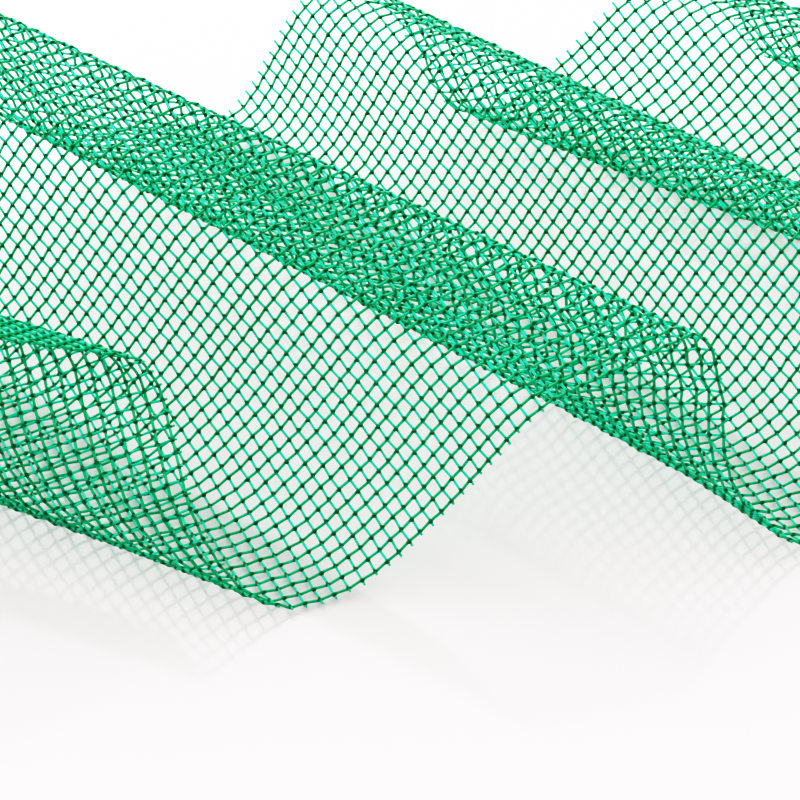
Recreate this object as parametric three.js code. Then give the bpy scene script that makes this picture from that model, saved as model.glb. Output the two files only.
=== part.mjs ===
// A cut length of coated screen mesh lying on a table in leaning wave folds.
// Millimetres, Z up. X follows the cut edge that faces the viewer, Y goes away from it, and the folds run
// askew, to the back left.
// The sheet is a ruled surface: straight rulings join a near section to a far one, both of lines and arcs.
// The piece of it that is kept is a plain rectangle once the sheet is rolled out flat.
import * as THREE from "three";

const SHEET_THICKNESS = 1;
const FAR_SECTION_Y = 100;
const LEFT_TAIL = 60;
const RIGHT_TAIL = 90;
const STEPS_PER_ARC = 6;
const STEPS_PER_LINE = 2;

// The cut, a rectangle in the flat sheet. Its near left corner and its direction are measured where the
// left tail lies flat on the table, so they are plain table positions there.
const CUT_LENGTH = 357;
const CUT_DEPTH = 90;
const CUT_CORNER = new THREE.Vector2(-141.2, 3.1);
const CUT_ANGLE_DEG = 14.7;

// Bend radius at each kind of corner of a section. The back of each crest has its own, in its row.
const TOE_RADIUS = 16;
const KNEE_RADIUS = 16;
const FRONT_RADIUS = 8;
const WAIST_RADIUS = 10;
const FOOT_RADIUS = 12;

// A tangent length may take at most this share of the side it lies on, shared with its neighbour.
const SIDE_SHARE = 0.98;

// One row for each fold. The sheet leaves the table at the toe, the knee bends it up, the front and the back
// carry it over the crest, the waist draws it in below the crest, and the foot brings it back to the table.
const FOLD_COLUMNS = [
  "toeX", "kneeX", "kneeZ", "frontX", "frontZ", "backX", "backZ", "backRadius", "waistX", "waistZ", "footX",
];
const table = (rows) =>
  rows.map((row) => Object.fromEntries(row.map((value, column) => [FOLD_COLUMNS[column], value])));
const NEAR_FOLDS = table([
  [-82, -69, 11, -43.5, 30.5, -7.5, 15.5, 2, -44, 6.5, -25],
  [-18.5, -10, 9, -3.5, 19.5, 36.5, 24, 4, 11, 13.5, 18.5],
  [35.5, 38, 10.5, 47.5, 26.5, 61, 14.5, 5, 73.5, 8.5, 80.5],
  [85, 91, 6, 97, 16, 111, 14, 5, 110, 8, 112],
]);
const FAR_FOLDS = table([
  [-167, -164, 1.5, -159, 23.5, -132, 20, 4, -151.5, 14.5, -148.5],
  [-92.5, -89.5, 3, -81.5, 30, -74.5, 28, 4, -64.5, 6, -38],
  [-31.5, -30, 1.5, -26, 14.5, -18.5, 16.5, 5, -18, 10.5, -25.5],
  [-8.5, -1.5, 4, 4.5, 12.5, 18.5, 10.5, 5, 17.5, 6, 19.5],
]);

// The corners of a section, from the left tail over the folds to the right tail.
function sectionCorners(folds) {
  const corners = [{ x: folds[0].toeX - LEFT_TAIL, z: 0, radius: 0 }];
  for (const fold of folds) {
    corners.push({ x: fold.toeX, z: 0, radius: TOE_RADIUS });
    corners.push({ x: fold.kneeX, z: fold.kneeZ, radius: KNEE_RADIUS });
    corners.push({ x: fold.frontX, z: fold.frontZ, radius: FRONT_RADIUS });
    corners.push({ x: fold.backX, z: fold.backZ, radius: fold.backRadius });
    corners.push({ x: fold.waistX, z: fold.waistZ, radius: WAIST_RADIUS });
    corners.push({ x: fold.footX, z: 0, radius: FOOT_RADIUS });
  }
  corners.push({ x: folds[folds.length - 1].footX + RIGHT_TAIL, z: 0, radius: 0 });
  return corners;
}

// Points along a section: its corners rounded with arcs, where two arcs that would meet both get smaller.
function sectionPoints(folds) {
  const corners = sectionCorners(folds);
  const points = corners.map((corner) => new THREE.Vector2(corner.x, corner.z));
  const sides = points.slice(1).map((point, index) => point.clone().sub(points[index]));
  const lengths = sides.map((side) => side.length());
  const directions = sides.map((side) => side.clone().normalize());
  const turns = points.map(() => 0);
  const tangents = points.map(() => 0);
  for (let index = 1; index < points.length - 1; index += 1) {
    const before = directions[index - 1];
    const after = directions[index];
    turns[index] = Math.atan2(before.cross(after), before.dot(after));
    tangents[index] = corners[index].radius * Math.tan(Math.abs(turns[index]) / 2);
  }
  const shrink = points.map(() => 1);
  lengths.forEach((length, index) => {
    const wanted = tangents[index] + tangents[index + 1];
    if (wanted > SIDE_SHARE * length) {
      const factor = (SIDE_SHARE * length) / wanted;
      shrink[index] = Math.min(shrink[index], factor);
      shrink[index + 1] = Math.min(shrink[index + 1], factor);
    }
  });
  const section = [];
  const addLine = (start, end) => {
    for (let step = 0; step < STEPS_PER_LINE; step += 1) {
      section.push(start.clone().lerp(end, step / STEPS_PER_LINE));
    }
  };
  let lineStart = points[0];
  for (let index = 1; index < points.length - 1; index += 1) {
    const tangent = tangents[index] * shrink[index];
    const arcStart = points[index].clone().addScaledVector(directions[index - 1], -tangent);
    const arcEnd = points[index].clone().addScaledVector(directions[index], tangent);
    addLine(lineStart, arcStart);
    const radius = tangent / Math.tan(Math.abs(turns[index]) / 2);
    const side = Math.sign(turns[index]) * radius;
    const before = directions[index - 1];
    const centre = new THREE.Vector2(arcStart.x - before.y * side, arcStart.y + before.x * side);
    for (let step = 0; step < STEPS_PER_ARC; step += 1) {
      section.push(arcStart.clone().rotateAround(centre, (turns[index] * step) / STEPS_PER_ARC));
    }
    lineStart = arcEnd;
  }
  addLine(lineStart, points[points.length - 1]);
  section.push(points[points.length - 1]);
  return section;
}

// Where the circles about two points meet, to the right of the way from the first to the second.
function meetOnRight(first, second, fromFirst, fromSecond) {
  const way = second.clone().sub(first);
  const gap = way.length();
  const along = (fromFirst ** 2 - fromSecond ** 2 + gap ** 2) / (2 * gap);
  const across = Math.sqrt(Math.max(fromFirst ** 2 - along ** 2, 0));
  way.normalize();
  return new THREE.Vector2(
    first.x + way.x * along + way.y * across,
    first.y + way.y * along - way.x * across,
  );
}

// Both ends of every ruling, in space and rolled out flat, strip by strip from the left tail.
function makeRulings() {
  const toSpace = (y) => (point) => new THREE.Vector3(point.x, y, point.y + SHEET_THICKNESS / 2);
  const near = sectionPoints(NEAR_FOLDS).map(toSpace(0));
  const far = sectionPoints(FAR_FOLDS).map(toSpace(FAR_SECTION_Y));
  const flatNear = [new THREE.Vector2(near[0].x, near[0].y)];
  const flatFar = [new THREE.Vector2(far[0].x, far[0].y)];
  for (let index = 1; index < near.length; index += 1) {
    const nearStep = near[index].distanceTo(near[index - 1]);
    const diagonal = near[index].distanceTo(far[index - 1]);
    flatNear.push(meetOnRight(flatNear[index - 1], flatFar[index - 1], nearStep, diagonal));
    const farStep = far[index].distanceTo(far[index - 1]);
    const ruling = far[index].distanceTo(near[index]);
    flatFar.push(meetOnRight(flatNear[index], flatFar[index - 1], ruling, farStep));
  }
  return near.map((point, index) => ({
    near: point,
    far: far[index],
    flatNear: flatNear[index],
    flatFar: flatFar[index],
  }));
}

// A ruling part of the way from one to the next.
function between(one, next, share) {
  return {
    near: one.near.clone().lerp(next.near, share),
    far: one.far.clone().lerp(next.far, share),
    flatNear: one.flatNear.clone().lerp(next.flatNear, share),
    flatFar: one.flatFar.clone().lerp(next.flatFar, share),
  };
}

// How far a flat point lies to the right of a ruling.
function rightOf(ruling, point) {
  const way = ruling.flatFar.clone().sub(ruling.flatNear).normalize();
  const offset = point.clone().sub(ruling.flatNear);
  return offset.x * way.y - offset.y * way.x;
}

// The rulings that cross the cut rectangle, with one more through each of its corners.
function addCornerRulings(rulings, corners) {
  const extra = corners.map((corner) => {
    const index = rulings.findIndex((ruling) => rightOf(ruling, corner) <= 0);
    const before = rightOf(rulings[index - 1], corner);
    const after = -rightOf(rulings[index], corner);
    const share = before / (before + after);
    return { place: index - 1 + share, ruling: between(rulings[index - 1], rulings[index], share) };
  });
  const places = extra.map((entry) => entry.place);
  const first = Math.min(...places);
  const last = Math.max(...places);
  const inside = rulings
    .map((ruling, index) => ({ place: index, ruling }))
    .filter((entry) => entry.place > first && entry.place < last);
  return [...inside, ...extra]
    .sort((one, other) => one.place - other.place)
    .map((entry) => entry.ruling);
}

// The stretch of a ruling that lies inside the cut rectangle, as shares of the way from near to far.
function clipRuling(ruling, corners) {
  const way = ruling.flatFar.clone().sub(ruling.flatNear);
  let start = -Infinity;
  let end = Infinity;
  corners.forEach((corner, index) => {
    const side = corners[(index + 1) % corners.length].clone().sub(corner);
    const inward = new THREE.Vector2(-side.y, side.x);
    const depth = inward.dot(ruling.flatNear.clone().sub(corner));
    const gain = inward.dot(way);
    const crossing = -depth / gain;
    if (gain > 0) {
      start = Math.max(start, crossing);
    } else {
      end = Math.min(end, crossing);
    }
  });
  const middle = (start + end) / 2;
  return start > end ? [middle, middle] : [start, end];
}

function cutCorners() {
  const angle = THREE.MathUtils.degToRad(CUT_ANGLE_DEG);
  const along = new THREE.Vector2(Math.cos(angle), Math.sin(angle)).multiplyScalar(CUT_LENGTH);
  const away = new THREE.Vector2(-Math.sin(angle), Math.cos(angle)).multiplyScalar(CUT_DEPTH);
  return [
    CUT_CORNER.clone(),
    CUT_CORNER.clone().add(along),
    CUT_CORNER.clone().add(along).add(away),
    CUT_CORNER.clone().add(away),
  ];
}

// The middle surface as pairs of points, the near and the far end of each clipped ruling, with the upward
// direction at each.
function middleSurface() {
  const corners = cutCorners();
  const rulings = addCornerRulings(makeRulings(), corners);
  const pointAt = (ruling, share) => ruling.near.clone().lerp(ruling.far, share);
  return rulings.map((ruling, index) => {
    const before = rulings[Math.max(index - 1, 0)];
    const after = rulings[Math.min(index + 1, rulings.length - 1)];
    const away = ruling.far.clone().sub(ruling.near);
    return clipRuling(ruling, corners).map((share) => {
      const along = pointAt(after, share).sub(pointAt(before, share));
      return { middle: pointAt(ruling, share), up: along.cross(away).normalize() };
    });
  });
}

// The closed solid: upper and lower faces half the thickness either way, and a rim all round.
function sheetGeometry() {
  const pairs = middleSurface();
  const last = pairs.length - 1;
  const positions = [];
  const addPoint = (entry, side) => {
    const point = entry.middle.clone().addScaledVector(entry.up, (side * SHEET_THICKNESS) / 2);
    positions.push(point.x, point.y, point.z);
    return positions.length / 3 - 1;
  };
  const upper = [];
  const lower = [];
  pairs.forEach(([near, far], index) => {
    const isCorner = index === 0 || index === last;
    const upperNear = addPoint(near, 1);
    const lowerNear = addPoint(near, -1);
    upper.push([upperNear, isCorner ? upperNear : addPoint(far, 1)]);
    lower.push([lowerNear, isCorner ? lowerNear : addPoint(far, -1)]);
  });
  const faces = [];
  const addTriangle = (a, b, c) => {
    if (a !== b && b !== c && c !== a) {
      faces.push(a, b, c);
    }
  };
  for (let index = 0; index < last; index += 1) {
    const [upperNear, upperFar] = upper[index];
    const [nextUpperNear, nextUpperFar] = upper[index + 1];
    const [lowerNear, lowerFar] = lower[index];
    const [nextLowerNear, nextLowerFar] = lower[index + 1];
    addTriangle(upperNear, nextUpperNear, upperFar);
    addTriangle(nextUpperNear, nextUpperFar, upperFar);
    addTriangle(lowerNear, lowerFar, nextLowerNear);
    addTriangle(nextLowerNear, lowerFar, nextLowerFar);
    addTriangle(lowerNear, nextLowerNear, upperNear);
    addTriangle(nextLowerNear, nextUpperNear, upperNear);
    addTriangle(lowerFar, upperFar, nextLowerFar);
    addTriangle(nextLowerFar, upperFar, nextUpperFar);
  }
  const geometry = new THREE.BufferGeometry();
  geometry.setAttribute("position", new THREE.Float32BufferAttribute(positions, 3));
  geometry.setIndex(faces);
  return geometry;
}

// The origin is at the middle of the floor box, so the sheet is shifted there.
const geometry = sheetGeometry();
geometry.computeBoundingBox();
const box = geometry.boundingBox;
geometry.translate(-(box.min.x + box.max.x) / 2, -(box.min.y + box.max.y) / 2, -box.min.z);
geometry.computeVertexNormals();

const coatedYarn = new THREE.MeshStandardMaterial({ color: 0x14b98a, roughness: 0.35, metalness: 0 });
const sheet = new THREE.Mesh(geometry, coatedYarn);
sheet.name = "screen_sheet";

const part = new THREE.Group();
part.add(sheet);

export default part;
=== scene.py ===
"""A cut length of green coated screen mesh, lying on a white table in leaning wave folds."""
import math

import bpy
import numpy as np
from mathutils import Matrix, Vector


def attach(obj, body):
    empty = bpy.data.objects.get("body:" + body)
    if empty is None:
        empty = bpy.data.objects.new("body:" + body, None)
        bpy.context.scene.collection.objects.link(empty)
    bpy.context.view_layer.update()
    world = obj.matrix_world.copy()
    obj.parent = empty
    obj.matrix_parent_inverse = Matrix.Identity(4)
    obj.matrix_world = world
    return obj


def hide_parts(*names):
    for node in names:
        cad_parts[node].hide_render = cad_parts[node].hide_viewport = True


# Sizes are in millimetres up to the point where meshes, lights and the camera are made.
MM = 0.001

# From the origin of the fold tables to the object's own. The middle surface lies at half the thickness.
FRAME_SHIFT = np.array([23.34, -48.62, 0.5])

# The sheet is a ruled surface: straight rulings join a near section to a far one, both of lines and arcs.
FAR_SECTION_Y = 100.0
LEFT_TAIL = 60.0
RIGHT_TAIL = 90.0
ARC_STEPS = 16
LINE_STEPS = 3

# Bend radius at each kind of corner of a section. The back of each crest has its own, in its row.
TOE_RADIUS = 16.0
KNEE_RADIUS = 16.0
FRONT_RADIUS = 8.0
WAIST_RADIUS = 10.0
FOOT_RADIUS = 12.0

# The arcs at the two ends of a side may take at most this share of it. TINY keeps it from dividing by zero.
SIDE_SHARE = 0.98
TINY = 1e-9

# One row for each fold. The sheet leaves the table at the toe, the knee bends it up, the front and the back
# carry it over the crest, the waist draws it in below the crest, and the foot brings it back to the table.
FOLD_COLUMNS = (
    "toe_x", "knee_x", "knee_z", "front_x", "front_z", "back_x", "back_z", "back_radius",
    "waist_x", "waist_z", "foot_x",
)
NEAR_FOLDS = (
    (-82.0, -69.0, 11.0, -43.5, 30.5, -7.5, 15.5, 2.0, -44.0, 6.5, -25.0),
    (-18.5, -10.0, 9.0, -3.5, 19.5, 36.5, 24.0, 4.0, 11.0, 13.5, 18.5),
    (35.5, 38.0, 10.5, 47.5, 26.5, 61.0, 14.5, 5.0, 73.5, 8.5, 80.5),
    (85.0, 91.0, 6.0, 97.0, 16.0, 111.0, 14.0, 5.0, 110.0, 8.0, 112.0),
)
FAR_FOLDS = (
    (-167.0, -164.0, 1.5, -159.0, 23.5, -132.0, 20.0, 4.0, -151.5, 14.5, -148.5),
    (-92.5, -89.5, 3.0, -81.5, 30.0, -74.5, 28.0, 4.0, -64.5, 6.0, -38.0),
    (-31.5, -30.0, 1.5, -26.0, 14.5, -18.5, 16.5, 5.0, -18.0, 10.5, -25.5),
    (-8.5, -1.5, 4.0, 4.5, 12.5, 18.5, 10.5, 5.0, 17.5, 6.0, 19.5),
)

# The cut: a rectangle in the flat sheet. Its near left corner and its direction are measured where the left
# tail lies flat on the table.
CUT_LENGTH = 357.0
CUT_DEPTH = 90.0
CUT_CORNER = np.array([-141.05, 2.92])
CUT_ANGLE = math.radians(14.73)

# The weave: rows run along the cut edge and columns away from it, over and under each other. The first row
# and the first column are this far from their edges.
PITCH = 1.5
ROWS = 60
COLUMNS = 238
FIRST_ROW = 0.5
FIRST_COLUMN = 0.75
ROW_DIAMETER = 0.31
COLUMN_DIAMETER = 0.27
WEAVE_HEIGHT = 0.11
YARN_SIDES = 5

# A yarn gets a point midway between two crossings only where the sheet turns more than this there.
MIDDLE_BEND = math.radians(16)

# What is uneven: how far the cut ends stand out, how far a yarn is off its place, and in multiples of that,
# the least and the most that it sways. The tone of the green wanders too.
SEED = 7
STUB_JITTER = 0.12
SPACING_JITTER = 0.035
LOOSENESS = (0.3, 2.5)
TONE_SWAY = 0.15

# A sway passes smoothly through random knots, about SWAY_POINTS points of the yarn apart. It has at least
# LEAST_KNOTS of them and some spare ones. The yarn's end lies CLEAR_KNOTS below their number, so that each
# point has a knot on both sides.
SWAY_POINTS = 24
LEAST_KNOTS = 2
SPARE_KNOTS = 3
CLEAR_KNOTS = 2.001

# How bright the green is on the rows and on the columns, between two crossings, from 0 to 1.
# The rows are painted darker as shade and the columns lighter as painted light, for how the light falls on
# them.
ROW_PAINTED_SHADE_TONE = 0.25
COLUMN_PAINTED_LIGHT_TONE = 0.72

# Where two yarns cross, their coatings are fused in a lozenge with this many corners round its rim. That
# rounds the corners of the open meshes.
WELD_REACH = 0.34
WELD_HEIGHT = 0.15
WELD_RIM = 4

# The yarns are drawn as two pieces, and this many columns are in the left one.
LEFT_COLUMNS = 152

# The green at tone 0 and at tone 1, and at a crossing, with its weld.
DEEP_GREEN = (0.0, 0.52, 0.20, 1.0)
BRIGHT_GREEN = (0.0, 0.98, 0.68, 1.0)
# The crossing green is partly the deeper colour of the doubled, fused coating and partly painted shade where
# one yarn lies on another.
CROSSING_FUSED_AND_SHADED_GREEN = (0.0, 0.20, 0.025, 1.0)

# How far from a crossing, in meshes, its green starts to fade and how far it reaches. Midway between two
# crossings is half a mesh from both.
CROSSING_CORE = 0.04
CROSSING_END = 0.27
HALF_MESH = 0.5

# Smooth translucent PVC, and white gloss board.
YARN_SURFACE = {
    "Roughness": 0.3,
    "Transmission Weight": 0.35,
    "IOR": 1.45,
    "Specular IOR Level": 0.2,
    "Specular Tint": (0.3, 1.0, 0.8, 1.0),
}
BOARD_SURFACE = {
    "Base Color": (0.93, 0.83, 0.85, 1.0),
    "Roughness": 0.12,
}
TABLE_REACH = 1500.0

# The camera looks at a point on the table, from in front and a little to the left.
AIM = Vector((8.80, -15.09, 0.5))
CAMERA_DISTANCE = 433.0
CAMERA_SIDE_DEG = 11.97
CAMERA_RISE_DEG = 39.08
CAMERA_LENS = 195.1
CAMERA_NEAREST = 10.0

# The brightness all round, from the viewer's side to behind the sheet.
FRONT_LIGHT = 0.08
BACK_LIGHT = 2.0
WHITE = (1.0, 1.0, 1.0, 1.0)

# The softbox stands behind the sheet and is aimed at the middle of it. Its power is in watts.
SOFTBOX_PLACE = Vector((-300.0, 920.0, 580.0))
SOFTBOX_WIDTH = 1800.0
SOFTBOX_HEIGHT = 1000.0
SOFTBOX_POWER = 8.0

# The camera's response, from scene brightness to picture brightness. It lifts the middle tones and holds the
# whites. ALL_COLOURS is the number of the curve that acts on all three colours alike.
RESPONSE = (
    (0.0, 0.0),
    (0.02, 0.010),
    (0.1, 0.09),
    (0.25, 0.32),
    (0.45, 0.64),
    (0.65, 0.81),
    (0.85, 0.915),
    (1.0, 0.955),
)
ALL_COLOURS = 3


def unit(vectors):
    """The same directions, each with a length of 1."""
    return vectors / np.linalg.norm(vectors, axis=-1, keepdims=True)


def section_corners(folds):
    """The place and the bend radius of each corner of a section, from the left tail to the right tail."""
    rows = [dict(zip(FOLD_COLUMNS, row)) for row in folds]
    corners = [(rows[0]["toe_x"] - LEFT_TAIL, 0.0, 0.0)]
    for row in rows:
        corners.append((row["toe_x"], 0.0, TOE_RADIUS))
        corners.append((row["knee_x"], row["knee_z"], KNEE_RADIUS))
        corners.append((row["front_x"], row["front_z"], FRONT_RADIUS))
        corners.append((row["back_x"], row["back_z"], row["back_radius"]))
        corners.append((row["waist_x"], row["waist_z"], WAIST_RADIUS))
        corners.append((row["foot_x"], 0.0, FOOT_RADIUS))
    corners.append((rows[-1]["foot_x"] + RIGHT_TAIL, 0.0, 0.0))
    corners = np.array(corners)
    return corners[:, :2], corners[:, 2]


def section_points(folds, y):
    """Points along a section, its corners rounded with arcs that get smaller where two would meet."""
    points, radii = section_corners(folds)
    sides = np.diff(points, axis=0)
    lengths = np.linalg.norm(sides, axis=1)
    ways = unit(sides)
    before = ways[:-1]
    after = ways[1:]
    cross = before[:, 0] * after[:, 1] - before[:, 1] * after[:, 0]
    turns = np.concatenate(([0.0], np.arctan2(cross, (before * after).sum(axis=1)), [0.0]))
    tangents = radii * np.tan(np.abs(turns) / 2)
    wanted = tangents[:-1] + tangents[1:]
    fit = np.minimum(1.0, SIDE_SHARE * lengths / np.maximum(wanted, TINY))
    tangents[1:-1] *= np.minimum(fit[:-1], fit[1:])
    section = []
    start = points[0]
    for index in range(1, len(points) - 1):
        arc_start = points[index] - ways[index - 1] * tangents[index]
        arc_end = points[index] + ways[index] * tangents[index]
        for step in range(LINE_STEPS):
            section.append(start + (arc_start - start) * step / LINE_STEPS)
        radius = tangents[index] / math.tan(abs(turns[index]) / 2)
        way = ways[index - 1]
        inward = np.array([-way[1], way[0]]) * math.copysign(radius, turns[index])
        centre = arc_start + inward
        for step in range(ARC_STEPS):
            angle = turns[index] * step / ARC_STEPS
            turn = np.array([[math.cos(angle), -math.sin(angle)], [math.sin(angle), math.cos(angle)]])
            section.append(centre - turn @ inward)
        start = arc_end
    for step in range(LINE_STEPS + 1):
        section.append(start + (points[-1] - start) * step / LINE_STEPS)
    section = np.array(section)
    return np.column_stack((section[:, 0], np.full(len(section), y), section[:, 1]))


def meet_on_right(first, second, from_first, from_second):
    """Where circles about two flat points meet, to the right of the way from the first to the second."""
    way = second - first
    gap = np.linalg.norm(way)
    way = way / gap
    along = (from_first**2 - from_second**2 + gap**2) / (2 * gap)
    across = math.sqrt(max(from_first**2 - along**2, 0.0))
    return first + way * along + np.array([way[1], -way[0]]) * across


class FoldedSheet:
    """The ruled middle surface of the sheet and the same rulings rolled out flat."""

    def __init__(self):
        """Rolls the strips between the rulings out one after another, each as two flat triangles."""
        self.near = section_points(NEAR_FOLDS, 0.0)
        self.far = section_points(FAR_FOLDS, FAR_SECTION_Y)
        flat_near = [self.near[0, :2]]
        flat_far = [self.far[0, :2]]
        for index in range(1, len(self.near)):
            near_step = np.linalg.norm(self.near[index] - self.near[index - 1])
            diagonal = np.linalg.norm(self.near[index] - self.far[index - 1])
            flat_near.append(meet_on_right(flat_near[-1], flat_far[-1], near_step, diagonal))
            far_step = np.linalg.norm(self.far[index] - self.far[index - 1])
            ruling = np.linalg.norm(self.far[index] - self.near[index])
            flat_far.append(meet_on_right(flat_near[-1], flat_far[-1], ruling, far_step))
        self.flat_near = np.array(flat_near)
        self.flat_far = np.array(flat_far)
        rulings = self.far - self.near
        self.near_up = unit(np.cross(np.gradient(self.near, axis=0), rulings))
        self.far_up = unit(np.cross(np.gradient(self.far, axis=0), rulings))

    def lay(self, flat):
        """Takes flat points to their places on the folds, with the upward direction at each."""
        way = unit(self.flat_far - self.flat_near)
        offset_x = flat[:, None, 0] - self.flat_near[None, :, 0]
        offset_y = flat[:, None, 1] - self.flat_near[None, :, 1]
        right = offset_x * way[:, 1] - offset_y * way[:, 0]
        strip = np.clip((right > 0).sum(axis=1) - 1, 0, len(way) - 2)
        each = np.arange(len(flat))
        before = right[each, strip]
        after = -right[each, strip + 1]
        share = (before / (before + after))[:, None]

        def mix(values):
            return values[strip] + (values[strip + 1] - values[strip]) * share

        flat_start = mix(self.flat_near)
        flat_way = mix(self.flat_far) - flat_start
        along = ((flat - flat_start) * flat_way).sum(axis=1) / (flat_way**2).sum(axis=1)
        along = along[:, None]
        start = mix(self.near)
        place = start + (mix(self.far) - start) * along
        up_start = mix(self.near_up)
        up = unit(up_start + (mix(self.far_up) - up_start) * along)
        return place, up


def smooth_noise(random, count, points):
    """Slow random sway for each of a number of yarns, between -1 and 1."""
    knots = max(int(points / SWAY_POINTS), LEAST_KNOTS) + SPARE_KNOTS
    values = random.uniform(-1.0, 1.0, (count, knots))
    position = np.linspace(0.0, knots - CLEAR_KNOTS, points)
    knot = position.astype(int)
    share = position - knot
    share = share * share * (3 - 2 * share)
    return values[:, knot] * (1 - share) + values[:, knot + 1] * share


def planned_points(crossings, cut_end):
    """Where a yarn may have points (its ends, its crossings and midway between them), and the crossings."""
    middles = (crossings[:-1] + crossings[1:]) / 2
    planned = np.sort(np.concatenate(([0.0], crossings, middles, [cut_end])))
    return planned, np.isin(planned, crossings)


def loosely_woven(random, yarn_places, planned):
    """How far along and how far across each yarn's points lie, with uneven cut ends and spacing."""
    count = len(yarn_places)
    travel = np.tile(planned, (count, 1))
    travel[:, 0] += random.uniform(-1.0, 1.0, count) * STUB_JITTER
    travel[:, -1] += random.uniform(-1.0, 1.0, count) * STUB_JITTER
    looseness = SPACING_JITTER * random.uniform(*LOOSENESS, (count, 1))
    across = yarn_places[:, None] + looseness * smooth_noise(random, count, len(planned))
    across = across + SPACING_JITTER * random.uniform(-1.0, 1.0, (count, 1))
    return travel, across


def wandering_tone(random, tone, count, points):
    """The tone at each point of each yarn: it wanders along a yarn and from one yarn to the next."""
    tone = tone + TONE_SWAY * smooth_noise(random, count, points)
    return tone + TONE_SWAY * random.uniform(-1.0, 1.0, (count, 1))


def lay_in_cut(sheet, along, away):
    """Places and upward directions on the folds, for points along the cut edge and away from it."""
    along_axis = np.array([math.cos(CUT_ANGLE), math.sin(CUT_ANGLE)])
    away_axis = np.array([-along_axis[1], along_axis[0]])
    flat = CUT_CORNER + along[..., None] * along_axis + away[..., None] * away_axis
    place, up = sheet.lay(flat.reshape(-1, 2))
    return place.reshape(*along.shape, 3), up.reshape(*along.shape, 3)


def points_to_keep(up, is_crossing):
    """The ends, the crossings, and the middles where the sheet turns sharply."""
    bend = np.zeros(up.shape[:2])
    bend[:, 1:-1] = np.arccos(np.clip((up[:, :-2] * up[:, 2:]).sum(axis=2), -1.0, 1.0))
    keep = is_crossing | (bend > MIDDLE_BEND)
    keep[:, [0, -1]] = True
    return keep


def yarns_one_way(sheet, random, way):
    """All rows or all columns: each a path with its directions, its tone, and where its crossings are."""
    row_places = FIRST_ROW + PITCH * np.arange(ROWS)
    column_places = FIRST_COLUMN + PITCH * np.arange(COLUMNS)
    # The rows take the painted shade tone and the columns the painted light tone.
    if way == "row":
        yarn_places, crossings, cut_end = row_places, column_places, CUT_LENGTH
        diameter, painted_light_tone, first_lift = ROW_DIAMETER, ROW_PAINTED_SHADE_TONE, WEAVE_HEIGHT
    else:
        yarn_places, crossings, cut_end = column_places, row_places, CUT_DEPTH
        diameter, painted_light_tone, first_lift = COLUMN_DIAMETER, COLUMN_PAINTED_LIGHT_TONE, -WEAVE_HEIGHT
    planned, is_crossing = planned_points(crossings, cut_end)
    travel, across = loosely_woven(random, yarn_places, planned)
    if way == "row":
        place, up = lay_in_cut(sheet, travel, across)
    else:
        place, up = lay_in_cut(sheet, across, travel)
    tone = wandering_tone(random, painted_light_tone, len(yarn_places), len(planned))
    number = np.cumsum(is_crossing) - 1
    over_or_under = (-1.0) ** (number[None, :] + np.arange(len(yarn_places))[:, None])
    lift = np.where(is_crossing, over_or_under * first_lift, 0.0)
    path = place + up * lift[..., None] + FRAME_SHIFT
    meshes = (planned - crossings[0]) / PITCH
    yarns = []
    for index, kept in enumerate(points_to_keep(up, is_crossing)):
        yarns.append(
            {
                "place": yarn_places[index],
                "travel": planned[kept],
                "path": path[index, kept],
                "tangent": unit(np.gradient(path[index, kept], axis=0)),
                "up": up[index, kept],
                "meshes": meshes[kept],
                "tone": tone[index, kept],
                "diameter": diameter,
                "capped": (True, True),
            }
        )
    return yarns


def part_of(yarn, part, capped):
    """A stretch of a yarn, with a cap on the ends that are cut."""
    piece = {key: yarn[key][part] for key in ("path", "tangent", "up", "meshes", "tone")}
    piece["diameter"] = yarn["diameter"]
    piece["capped"] = capped
    return piece


def split_yarns(rows, columns):
    """The left and the right yarns, with each row parted where it crosses the last column on the left."""
    seam = FIRST_COLUMN + PITCH * (LEFT_COLUMNS - 1)
    left = [yarn for yarn in columns if yarn["place"] <= seam]
    right = [yarn for yarn in columns if yarn["place"] > seam]
    for row in rows:
        at = int(np.argmin(np.abs(row["travel"] - seam)))
        left.append(part_of(row, slice(None, at + 1), (True, False)))
        right.append(part_of(row, slice(at, None), (False, True)))
    return left, right


def add_object(name, data):
    """A new object in the scene, made of a mesh, a light or a camera."""
    added = bpy.data.objects.new(name, data)
    bpy.context.scene.collection.objects.link(added)
    return added


def add_values(mesh, label, values):
    """Gives each vertex a number, which the material reads by its label."""
    attribute = mesh.attributes.new(label, "FLOAT", "POINT")
    attribute.data.foreach_set("value", values.astype(np.float32))


def rings_round(yarn):
    """A ring of points round each point of a yarn's path, square to the yarn."""
    angles = np.arange(YARN_SIDES) * 2 * math.pi / YARN_SIDES
    ring_side = np.cos(angles)[None, :, None] / 2
    ring_top = np.sin(angles)[None, :, None] / 2
    side = unit(np.cross(yarn["tangent"], yarn["up"]))
    top = np.cross(side, yarn["tangent"])
    rings = side[:, None, :] * ring_side + top[:, None, :] * ring_top
    return yarn["path"][:, None, :] + rings * yarn["diameter"]


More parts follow.
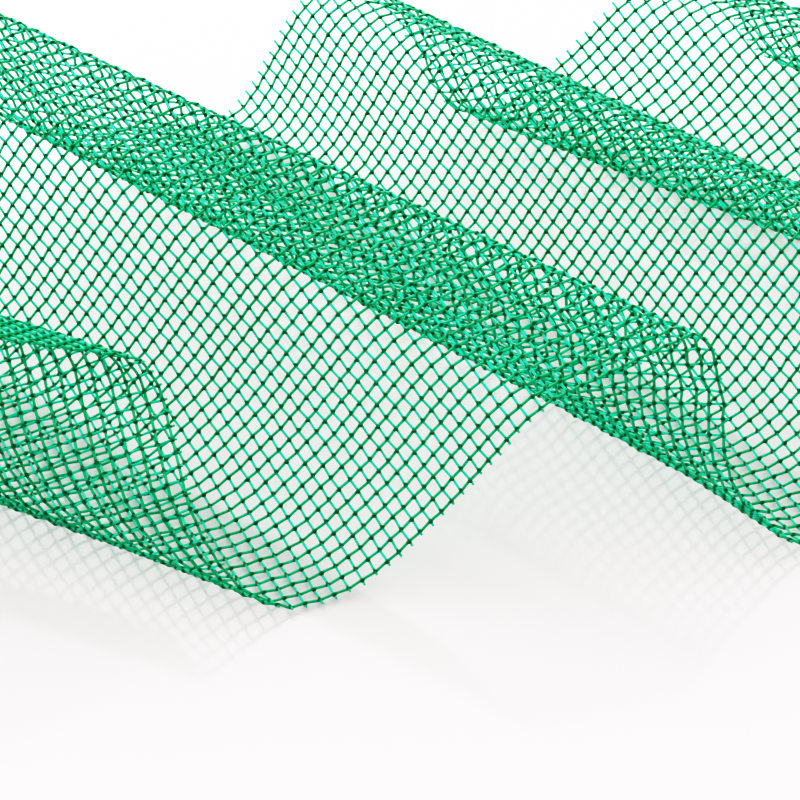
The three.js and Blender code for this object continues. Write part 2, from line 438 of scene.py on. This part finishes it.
def tube_mesh(name, yarns):
    """One mesh of many yarns: a smooth tube round each path, with caps of their own on its cut ends."""
    edge = np.arange(YARN_SIDES)
    next_edge = np.roll(edge, -1)
    vertices = []
    quads = []
    caps = []
    values = {"meshes": [], "tone": []}
    total = 0
    for yarn in yarns:
        rings = rings_round(yarn)
        vertices.append(rings.reshape(-1, 3))
        ring = total + np.arange(len(rings) - 1)[:, None] * YARN_SIDES
        next_ring = ring + YARN_SIDES
        corners = (ring + edge, next_ring + edge, next_ring + next_edge, ring + next_edge)
        quads.append(np.stack(corners, axis=-1).reshape(-1, len(corners)))
        for label in values:
            values[label].append(np.repeat(yarn[label], YARN_SIDES))
        total += len(rings) * YARN_SIDES
        for end, capped in zip((0, -1), yarn["capped"]):
            if capped:
                vertices.append(rings[end])
                caps.append(total + (edge if end == 0 else edge[::-1]))
                for label in values:
                    values[label].append(np.repeat(yarn[label][end], YARN_SIDES))
                total += YARN_SIDES
    vertices = np.concatenate(vertices) * MM
    quads = np.concatenate(quads)
    caps = np.array(caps)
    mesh = bpy.data.meshes.new(name)
    mesh.vertices.add(len(vertices))
    mesh.vertices.foreach_set("co", vertices.ravel())
    mesh.loops.add(quads.size + caps.size)
    mesh.loops.foreach_set("vertex_index", np.concatenate((quads.ravel(), caps.ravel())))
    mesh.polygons.add(len(quads) + len(caps))
    quad_starts = np.arange(len(quads)) * quads.shape[1]
    cap_starts = quads.size + np.arange(len(caps)) * YARN_SIDES
    mesh.polygons.foreach_set("loop_start", np.concatenate((quad_starts, cap_starts)))
    mesh.update(calc_edges=True)
    smooth = np.concatenate((np.ones(len(quads), bool), np.zeros(len(caps), bool)))
    mesh.polygons.foreach_set("use_smooth", smooth)
    for label, parts in values.items():
        add_values(mesh, label, np.concatenate(parts))
    mesh.validate()
    return add_object(name, mesh)


def at_crossings(yarns, label):
    """The values of one kind where the yarns are crossed, a line of them for each yarn."""
    lines = []
    for yarn in yarns:
        is_crossing = np.isclose(yarn["meshes"], np.round(yarn["meshes"]))
        lines.append(yarn[label][is_crossing])
    return np.array(lines)


def weld_mesh(name, rows, columns):
    """One mesh of many small lozenges, one at each crossing, with rims that reach out along the yarns.

    They are 0 meshes from a crossing, so they have its green all over, partly painted shade, and need no
    tone.
    """
    row_path = at_crossings(rows, "path").reshape(-1, 3)
    column_path = at_crossings(columns, "path").swapaxes(0, 1).reshape(-1, 3)
    along = at_crossings(rows, "tangent").reshape(-1, 3)
    away = at_crossings(columns, "tangent").swapaxes(0, 1).reshape(-1, 3)
    up = at_crossings(rows, "up").reshape(-1, 3)
    centre = (row_path + column_path) / 2
    corners = [
        centre + along * WELD_REACH,
        centre + away * WELD_REACH,
        centre - along * WELD_REACH,
        centre - away * WELD_REACH,
        centre + up * WELD_HEIGHT,
        centre - up * WELD_HEIGHT,
    ]
    top = WELD_RIM
    bottom = WELD_RIM + 1
    vertices = np.stack(corners, axis=1).reshape(-1, 3) * MM
    faces = [(side, (side + 1) % WELD_RIM, top) for side in range(WELD_RIM)]
    faces += [((side + 1) % WELD_RIM, side, bottom) for side in range(WELD_RIM)]
    faces = np.arange(len(centre))[:, None, None] * len(corners) + np.array(faces)[None, :, :]
    mesh = bpy.data.meshes.new(name)
    mesh.from_pydata(vertices.tolist(), [], faces.reshape(-1, 3).tolist())
    mesh.polygons.foreach_set("use_smooth", np.ones(len(mesh.polygons), bool))
    add_values(mesh, "meshes", np.zeros(len(vertices)))
    return add_object(name, mesh)


def set_inputs(node, values):
    """Sets a node's inputs, given by name or by number."""
    for key, value in values.items():
        node.inputs[key].default_value = value


def read_values(tree, label):
    """A node that reads the numbers that the mesh carries under this label."""
    node = tree.nodes.new("ShaderNodeAttribute")
    node.attribute_name = label
    return node


def mix_colours(tree, values):
    """A node that mixes two colours, of which one or both are given."""
    node = tree.nodes.new("ShaderNodeMix")
    node.data_type = "RGBA"
    set_inputs(node, values)
    return node


def yarn_material():
    """Smooth translucent PVC: bright teal green, darker where two yarns lie on each other, partly as painted
    shade.
    """
    material = bpy.data.materials.new("coated_yarn_green")
    material.use_nodes = True
    tree = material.node_tree
    shader = tree.nodes["Principled BSDF"]
    meshes = read_values(tree, "meshes")
    distance = tree.nodes.new("ShaderNodeMath")
    distance.operation = "PINGPONG"
    set_inputs(distance, {1: HALF_MESH})
    crossing = tree.nodes.new("ShaderNodeMapRange")
    crossing.interpolation_type = "SMOOTHSTEP"
    set_inputs(crossing, {"From Min": CROSSING_CORE, "From Max": CROSSING_END, "To Min": 1.0, "To Max": 0.0})
    tone = read_values(tree, "tone")
    # The tone mixes deep and bright green: a random sway, with painted shade on the rows and painted light
    # on the columns.
    base = mix_colours(tree, {"A": DEEP_GREEN, "B": BRIGHT_GREEN})
    # Near a crossing the green turns darker: partly the doubled coating, partly painted shade.
    crossing_depth_and_shade = mix_colours(tree, {"B": CROSSING_FUSED_AND_SHADED_GREEN})
    tree.links.new(meshes.outputs["Fac"], distance.inputs[0])
    tree.links.new(distance.outputs["Value"], crossing.inputs["Value"])
    tree.links.new(tone.outputs["Fac"], base.inputs["Factor"])
    tree.links.new(base.outputs["Result"], crossing_depth_and_shade.inputs["A"])
    tree.links.new(crossing.outputs["Result"], crossing_depth_and_shade.inputs["Factor"])
    tree.links.new(crossing_depth_and_shade.outputs["Result"], shader.inputs["Base Color"])
    set_inputs(shader, YARN_SURFACE)
    return material


def add_screen():
    """The whole sheet: its yarns in two pieces and its welds in a third, in place of the plain CAD sheet."""
    sheet = FoldedSheet()
    random = np.random.default_rng(SEED)
    rows = yarns_one_way(sheet, random, "row")
    columns = yarns_one_way(sheet, random, "column")
    left_yarns, right_yarns = split_yarns(rows, columns)
    left = tube_mesh("screen_left", left_yarns)
    right = tube_mesh("screen_right", right_yarns)
    welds = weld_mesh("screen_welds", rows, columns)
    material = yarn_material()
    for piece in (left, right, welds):
        piece.data.materials.append(material)
        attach(piece, "root")
    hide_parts("screen_sheet")


def table_material():
    """White gloss board."""
    material = bpy.data.materials.new("white_board")
    material.use_nodes = True
    set_inputs(material.node_tree.nodes["Principled BSDF"], BOARD_SURFACE)
    return material


def add_table():
    """A flat square board under the sheet. It isn't part of the object."""
    reach = TABLE_REACH * MM
    mesh = bpy.data.meshes.new("table")
    corners = [(-reach, -reach, 0.0), (reach, -reach, 0.0), (reach, reach, 0.0), (-reach, reach, 0.0)]
    mesh.from_pydata(corners, [], [(0, 1, 2, 3)])
    mesh.materials.append(table_material())
    add_object("table", mesh)


def add_world():
    """White light from all round, stronger from behind the sheet than from the viewer's side."""
    world = bpy.data.worlds.new("studio")
    world.use_nodes = True
    tree = world.node_tree
    background = tree.nodes["Background"]
    set_inputs(background, {"Color": WHITE})
    direction = tree.nodes.new("ShaderNodeTexCoord")
    split = tree.nodes.new("ShaderNodeSeparateXYZ")
    strength = tree.nodes.new("ShaderNodeMapRange")
    set_inputs(strength, {"From Min": -1.0, "From Max": 1.0, "To Min": FRONT_LIGHT, "To Max": BACK_LIGHT})
    tree.links.new(direction.outputs["Generated"], split.inputs["Vector"])
    tree.links.new(split.outputs["Y"], strength.inputs["Value"])
    tree.links.new(strength.outputs["Result"], background.inputs["Strength"])
    bpy.context.scene.world = world


def add_softbox():
    """A large soft light behind the sheet."""
    data = bpy.data.lights.new("back_softbox", "AREA")
    data.shape = "RECTANGLE"
    data.size = SOFTBOX_WIDTH * MM
    data.size_y = SOFTBOX_HEIGHT * MM
    data.energy = SOFTBOX_POWER
    light = add_object("back_softbox", data)
    light.location = SOFTBOX_PLACE * MM
    light.rotation_euler = (-SOFTBOX_PLACE).to_track_quat("-Z", "Y").to_euler()


def set_response():
    """Standard colours with the camera's response laid over them."""
    view = bpy.context.scene.view_settings
    view.view_transform = "Standard"
    view.use_curve_mapping = True
    curve = view.curve_mapping.curves[ALL_COLOURS]
    curve.points[0].location = RESPONSE[0]
    curve.points[1].location = RESPONSE[-1]
    for point in RESPONSE[1:-1]:
        curve.points.new(*point)
    view.curve_mapping.update()


def add_camera():
    """The camera, level from side to side, at its distance from the point that it looks at."""
    side = math.radians(CAMERA_SIDE_DEG)
    rise = math.radians(CAMERA_RISE_DEG)
    back = Vector(
        (-math.sin(side) * math.cos(rise), -math.cos(side) * math.cos(rise), math.sin(rise))
    )
    right = Vector((math.cos(side), -math.sin(side), 0.0))
    up = back.cross(right)
    data = bpy.data.cameras.new("camera")
    data.lens = CAMERA_LENS
    data.clip_start = CAMERA_NEAREST * MM
    camera = add_object("camera", data)
    turn = Matrix((right, up, back)).transposed()
    camera.matrix_world = Matrix.Translation((AIM + back * CAMERA_DISTANCE) * MM) @ turn.to_4x4()
    bpy.context.scene.camera = camera


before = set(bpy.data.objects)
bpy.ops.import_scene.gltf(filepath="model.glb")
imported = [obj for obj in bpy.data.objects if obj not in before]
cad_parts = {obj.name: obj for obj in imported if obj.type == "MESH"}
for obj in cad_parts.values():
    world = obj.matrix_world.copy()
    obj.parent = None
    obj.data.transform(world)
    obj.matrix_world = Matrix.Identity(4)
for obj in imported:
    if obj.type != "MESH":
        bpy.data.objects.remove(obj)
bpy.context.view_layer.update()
set_response()
add_camera()
add_table()
add_world()
add_softbox()
add_screen()
